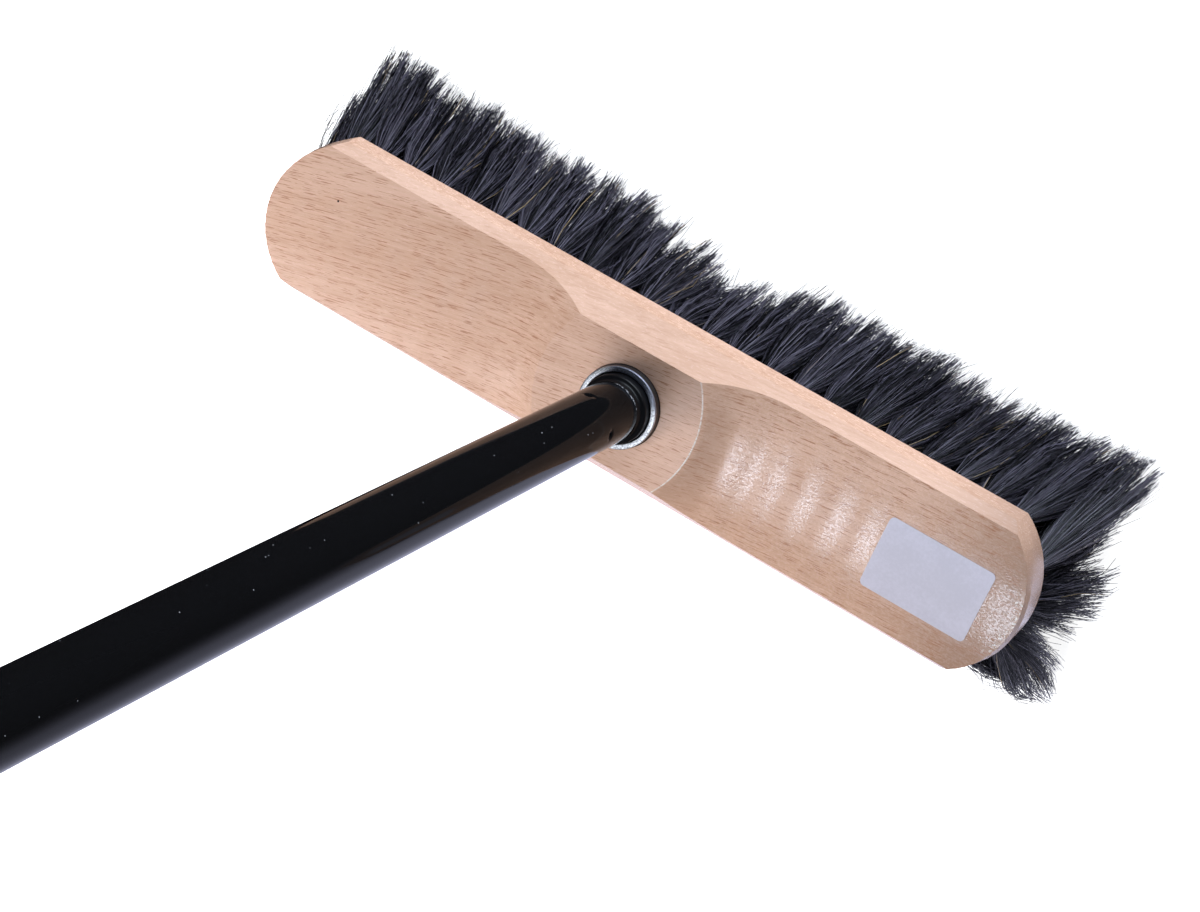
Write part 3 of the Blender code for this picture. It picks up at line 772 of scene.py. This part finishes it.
def hair_mesh(hair, column, profile):
    """Mesh of one column's hairs, drawn as curves with tapering radii."""
    paths, tones = hair_paths(hair, column)
    curve = bpy.data.curves.new("hairs", "CURVE")
    curve.dimensions = "3D"
    curve.bevel_mode = "OBJECT"
    curve.bevel_object = profile
    curve.use_fill_caps = True
    stations = len(HAIR_STATIONS)
    radius = hair.thickness / 2 * HAIR_TAPER
    ends = np.ones((stations, 1))
    for path in paths:
        spline = curve.splines.new("POLY")
        spline.points.add(stations - 1)
        spline.points.foreach_set("co", np.hstack([path, ends]).ravel())
        spline.points.foreach_set("radius", radius)
    obj = bpy.data.objects.new("hairs", curve)
    bpy.context.scene.collection.objects.link(obj)
    mesh = bpy.data.meshes.new_from_object(obj.evaluated_get(bpy.context.evaluated_depsgraph_get()))
    bpy.data.objects.remove(obj, do_unlink=True)
    per_hair = len(mesh.vertices) // len(paths)
    if per_hair * len(paths) != len(mesh.vertices):
        raise RuntimeError("the hair curves gave an uneven mesh")
    points = np.empty(len(mesh.vertices) * 3, np.float32)
    mesh.vertices.foreach_get("co", points)
    along = 1 - points.reshape(-1, 3)[:, 2] / UNDERSIDE
    for name, numbers in (("tone", np.repeat(tones, per_hair)), ("along", along)):
        layer = mesh.attributes.new(name, "FLOAT", "POINT")
        layer.data.foreach_set("value", np.clip(numbers, 0, 1).astype(np.float32))
    return mesh


class BROOM_OT_block(Operator):
    """Make the varnished beech block with its drilled tuft holes"""

    bl_idname = "broom.block"
    bl_label = "Beech block"

    def execute(self, context):
        broom = context.scene.broom
        beech, hair = broom.beech, broom.hair
        bm = cad_copy("beech_block")
        ceiling = UNDERSIDE + TUFT_CEILING
        bmesh.ops.bisect_plane(
            bm, geom=bm.verts[:] + bm.edges[:] + bm.faces[:], plane_co=(0, 0, ceiling),
            plane_no=(0, 0, 1), clear_inner=True,
        )
        rim = [edge for edge in bm.edges if edge.is_boundary]
        grown = bmesh.ops.extrude_edge_only(bm, edges=rim)["geom"]
        foot = [item for item in grown if isinstance(item, bmesh.types.BMVert)]
        bmesh.ops.translate(bm, verts=foot, vec=(0, 0, UNDERSIDE - ceiling))
        bmesh.ops.contextual_create(bm, geom=[edge for edge in bm.edges if edge.is_boundary])
        bmesh.ops.recalc_face_normals(bm, faces=bm.faces)
        round_edges(bm, 15, beech.edge_radius)
        bmesh.ops.recalc_face_normals(bm, faces=bm.faces)
        block = add_piece("block_blank", bm, None, keep_normals=True)
        drill = bmesh.new()
        radius, depth = beech.hole_radius, 2 * beech.hole_depth
        for column in range(COLUMN_COUNT):
            for x, y in tuft_places(hair, column):
                bmesh.ops.create_cone(
                    drill, cap_ends=True, segments=12, radius1=radius, radius2=radius, depth=depth,
                    matrix=Matrix.Translation((x, y, UNDERSIDE)),
                )
        cutter = add_piece("tuft_drill", drill, None, keep_normals=True)
        mesh = carved(block, cutter)
        finish = beech_finish(beech)
        piece = place_piece("beech_block_wood", mesh, finish, "head", ("beech_block",), 28)
        normals = piece.modifiers.new("even normals", "WEIGHTED_NORMAL")
        normals.keep_sharp = True
        return {"FINISHED"}


class BROOM_OT_label(Operator):
    """Make the blank label on the right wing"""

    bl_idname = "broom.label"
    bl_label = "Blank label"

    def execute(self, context):
        label = context.scene.broom.label
        bm = bmesh.new()
        bmesh.ops.create_grid(bm, x_segments=1, y_segments=1, size=0.5)
        bmesh.ops.scale(bm, vec=(label.length, label.width, 1), verts=bm.verts)
        bmesh.ops.bevel(
            bm, geom=bm.verts[:], offset=label.corner, segments=6, profile=0.5, affect="VERTICES",
            clamp_overlap=True, material=-1,
        )
        cuts = 14
        lift = 0.00003
        for i in range(1, cuts):
            across = label.width * (i / cuts - 0.5)
            everything = bm.verts[:] + bm.edges[:] + bm.faces[:]
            bmesh.ops.bisect_plane(bm, geom=everything, plane_co=(0, across, 0), plane_no=(0, 1, 0))
        bmesh.ops.translate(bm, verts=bm.verts, vec=(label.place_x, label.place_y, 0))
        block = cad_copy("beech_block")
        surface = BVHTree.FromBMesh(block)
        block.free()
        high = Vector((0, 0, 1))
        for vert in bm.verts:
            hit = surface.ray_cast(vert.co + high, -high)[0]
            vert.co.z = hit.z + lift
        bmesh.ops.recalc_face_normals(bm, faces=bm.faces)
        if sum(face.normal.z for face in bm.faces) < 0:
            bmesh.ops.reverse_faces(bm, faces=bm.faces)
        bmesh.ops.solidify(bm, geom=bm.faces[:], thickness=-label.thickness)
        add_piece("blank_label", bm, label_finish(label), "head", (), 40)
        return {"FINISHED"}


class BROOM_OT_socket(Operator):
    """Make the galvanised socket with its rounded lip"""

    bl_idname = "broom.socket"
    bl_label = "Galvanised socket"

    def execute(self, context):
        socket = context.scene.broom.socket
        radius = SLEEVE_HIGH[0]
        foot, top = SLEEVE_LOW[2], SLEEVE_HIGH[2]
        bore = radius - socket.wall
        lip = socket.lip
        outer = arc((radius - lip, top - lip), lip, 0, 90, 5)
        inner = arc((bore + lip, top - lip), lip, 90, 180, 5)
        bm = spun([(bore, foot), (radius, foot)] + outer + inner, ROUND_STEPS, closed=True)
        add_piece("galvanised_socket", bm, zinc_finish(socket), "head", ("galvanised_sleeve",))
        return {"FINISHED"}


class BROOM_OT_plug(Operator):
    """Make the black plug between the socket and the tube"""

    bl_idname = "broom.plug"
    bl_label = "Threaded plug"

    def execute(self, context):
        handle, plug = context.scene.broom.handle, context.scene.broom.plug
        foot, top = PLUG_LOW[2], PLUG_HIGH[2]
        radius, tube = PLUG_HIGH[0], TUBE_HIGH[0]
        spigot = tube - handle.wall - plug.gap
        neck, neck_radius = TUBE_LOW[2] - plug.gap, tube - 0.0004
        wall_top = SLEEVE_HIGH[2] - 0.0012
        collar = SLEEVE_HIGH[2] + plug.collar
        shoulder_place = (radius - plug.shoulder, collar - 0.0004)
        throat_place = (tube + 0.0009, collar + 0.0016)
        profile = [(0, foot), (radius - plug.nose, foot)]
        profile += arc((radius - plug.nose, foot + plug.nose), plug.nose, 270, 360, 3)
        profile += [(radius, wall_top)]
        profile += arc(shoulder_place, plug.shoulder, 0, 70, 5)
        profile += arc(throat_place, plug.throat, 240, 180, 4)
        profile += [(neck_radius, neck), (spigot, neck)]
        profile += [(spigot, top - plug.tip), (spigot - plug.tip, top), (0, top)]
        bm = spun(profile, ROUND_STEPS)
        finish = plastic_finish("black plug plastic", handle)
        add_piece("threaded_plug_body", bm, finish, "plug", ("threaded_plug",))
        return {"FINISHED"}


class BROOM_OT_tube(Operator):
    """Make the lacquered tube with its rolled rim and crimp dimples"""

    bl_idname = "broom.tube"
    bl_label = "Handle tube"

    def execute(self, context):
        handle = context.scene.broom.handle
        radius = TUBE_HIGH[0]
        bore = radius - handle.wall
        foot, top = TUBE_LOW[2], TUBE_HIGH[2]
        roll = handle.rim_roll
        rim = [
            (bore + (radius - bore) * math.sin(turn), foot + roll * (1 - math.cos(turn)))
            for turn in (math.pi / 2 * i / 6 for i in range(1, 7))
        ]
        band, rows = 0.0044, 22
        middle = foot + handle.dimple_height
        low = middle - band / 2
        stations = [low + band * i / rows for i in range(rows + 1)]
        outer = rim + [(radius, z) for z in stations] + [(radius, top)]
        inner = [(bore, z) for z in reversed(stations)]
        bm = spun([(bore, foot)] + outer + [(bore, top)] + inner, TUBE_STEPS, closed=True)
        half_width, half_height = 0.0013, 0.0011
        for vert in bm.verts:
            if abs(vert.co.z - middle) > band / 2:
                continue
            turn = math.atan2(vert.co.y, vert.co.x) - handle.dimple_turn
            off = (turn + math.pi / 4) % (math.pi / 2) - math.pi / 4
            aside, above = off * radius / half_width, (vert.co.z - middle) / half_height
            push = math.exp(-(aside ** 2) - above ** 2)
            reach = math.hypot(vert.co.x, vert.co.y)
            kept = (reach - handle.dimple_depth * push) / reach
            vert.co.x *= kept
            vert.co.y *= kept
        add_piece("lacquered_tube", bm, lacquer_finish(handle), "handle", ("handle_tube",), 50)
        return {"FINISHED"}


class BROOM_OT_cap(Operator):
    """Make the plastic cap with its hanging eye"""

    bl_idname = "broom.cap"
    bl_label = "Hanging cap"

    def execute(self, context):
        handle = context.scene.broom.handle
        bm = cad_copy("hanging_cap")
        round_edges(bm, 40, handle.cap_edge)
        finish = plastic_finish("black cap plastic", handle)
        add_piece("hanging_cap_moulding", bm, finish, "handle", ("hanging_cap",), 35)
        return {"FINISHED"}


class BROOM_OT_hair(Operator):
    """Make the horsehair, one piece for each column of tufts"""

    bl_idname = "broom.hair"
    bl_label = "Horsehair"

    def execute(self, context):
        hair = context.scene.broom.hair
        finish = horsehair_finish(hair)
        profile = make_hair_profile()
        for column in range(COLUMN_COUNT):
            mesh = hair_mesh(hair, column, profile)
            number = f"{column + 1:02d}"
            nodes = (f"bristle_strip_{number}",)
            place_piece(f"horsehair_{number}", mesh, finish, "head", nodes, 180)
        bpy.data.objects.remove(profile, do_unlink=True)
        return {"FINISHED"}


def add_light(name, place, target, size, power, tint=(1, 1, 1), shine=True):
    """A soft light at a place, turned to a target; without shine nothing glossy mirrors it."""
    data = bpy.data.lights.new(name, "AREA")
    data.shape = "RECTANGLE"
    data.size, data.size_y = size
    data.energy = power
    data.color = tint
    light = bpy.data.objects.new(name, data)
    light.location = place
    light.rotation_euler = (Vector(target) - Vector(place)).to_track_quat("-Z", "Y").to_euler()
    light.visible_camera = False
    light.visible_glossy = shine
    bpy.context.scene.collection.objects.link(light)


class BROOM_OT_stage(Operator):
    """Set the pale floor, the soft studio light and the camera"""

    bl_idname = "broom.stage"
    bl_label = "Stage"

    def execute(self, context):
        stage = context.scene.broom.stage
        bm = bmesh.new()
        bmesh.ops.create_grid(bm, x_segments=1, y_segments=1, size=stage.floor)
        floor = add_piece("pale_floor", bm, floor_finish(stage))
        floor.visible_glossy = False
        middle = (0, 0, 0.07)
        side = stage.side_power
        add_light("key", (0.03, -0.67, 1.82), middle, (0.56, 0.72), stage.key_power, (0.93, 0.97, 1.0))
        add_light("upper left", (-0.55, -0.50, 1.60), middle, (0.50, 0.50), side, shine=False)
        add_light("front low", (-0.15, -0.75, 0.35), middle, (0.50, 0.30), side, shine=False)
        add_light("near left", (-0.30, -0.30, 0.30), middle, (0.20, 0.20), side * 0.46, shine=False)
        add_light("back", (0.15, 0.93, 0.19), middle, (0.90, 0.25), stage.back_power, COOL_LIGHT)
        add_light("glint", (0.02, 0.87, 0.59), middle, (0.24, 0.20), stage.glint_power, COOL_LIGHT)
        self.set_world(context)
        self.set_camera(context, stage)
        context.scene.view_settings.view_transform = "Standard"
        context.scene.view_settings.look = "None"
        return {"FINISHED"}

    def set_world(self, context):
        """What the gloss mirrors: a dark room with one grey-blue panel. The camera sees white."""
        world = context.scene.world or bpy.data.worlds.new("studio")
        context.scene.world = world
        world.use_nodes = True
        room = Nodes(world.node_tree)
        view = room.node("ShaderNodeTexCoord", output="Generated")
        height = room.node("ShaderNodeSeparateXYZ", None, {"Vector": view}, "Z")
        panel = room.node(
            "ShaderNodeVectorMath", {"operation": "DOT_PRODUCT"}, {0: view, 1: PANEL_DIRECTION}, "Value"
        )
        below = room.mix(room.ease(panel, 0.72, 0.97), ROOM_BELOW, PANEL)
        sky = room.mix(room.ease(height, -0.10, 0.04), below, ROOM_ABOVE)
        seen = room.node("ShaderNodeLightPath", output="Is Camera Ray")
        sky = room.mix(seen, sky, BACKDROP)
        room.plug(world.node_tree.nodes["Background"].inputs["Color"], sky)

    def set_camera(self, context, stage):
        """The camera of the photograph."""
        data = bpy.data.cameras.new("camera")
        data.sensor_width = 36
        data.sensor_fit = "HORIZONTAL"
        data.lens = stage.lens
        data.clip_end = 200
        camera = bpy.data.objects.new("camera", data)
        rows = Matrix((CAMERA_RIGHT, CAMERA_UP, CAMERA_BACK))
        camera.matrix_world = Matrix.Translation(CAMERA_PLACE) @ rows.transposed().to_4x4()
        context.scene.collection.objects.link(camera)
        context.scene.camera = camera


class BROOM_PT_panel(Panel):
    """The broom's operators and settings"""

    bl_label = "Horsehair broom"
    bl_idname = "BROOM_PT_panel"
    bl_space_type = "VIEW_3D"
    bl_region_type = "UI"
    bl_category = "Broom"

    def draw(self, context):
        for operator in OPERATORS:
            self.layout.operator(operator.bl_idname)
        broom = context.scene.broom
        for part in ("beech", "label", "socket", "plug", "handle", "hair", "stage"):
            group = getattr(broom, part)
            box = self.layout.box()
            for name in group.bl_rna.properties.keys():
                if name not in ("rna_type", "name"):
                    box.prop(group, name)


OPERATORS = (
    BROOM_OT_stage, BROOM_OT_block, BROOM_OT_label, BROOM_OT_socket, BROOM_OT_plug, BROOM_OT_tube,
    BROOM_OT_cap, BROOM_OT_hair,
)
GROUPS = (
    BeechSettings, LabelSettings, SocketSettings, PlugSettings, HandleSettings, HairSettings,
    StageSettings, BroomSettings,
)


def register():
    for group in GROUPS + OPERATORS + (BROOM_PT_panel,):
        bpy.utils.register_class(group)
    bpy.types.Scene.broom = PointerProperty(type=BroomSettings)


def unregister():
    del bpy.types.Scene.broom
    for group in reversed(GROUPS + OPERATORS + (BROOM_PT_panel,)):
        bpy.utils.unregister_class(group)


def main():
    """Register the add-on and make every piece."""
    register()
    for operator in OPERATORS:
        getattr(bpy.ops.broom, operator.bl_idname.split(".")[1])()


if __name__ == "__main__":
    main()
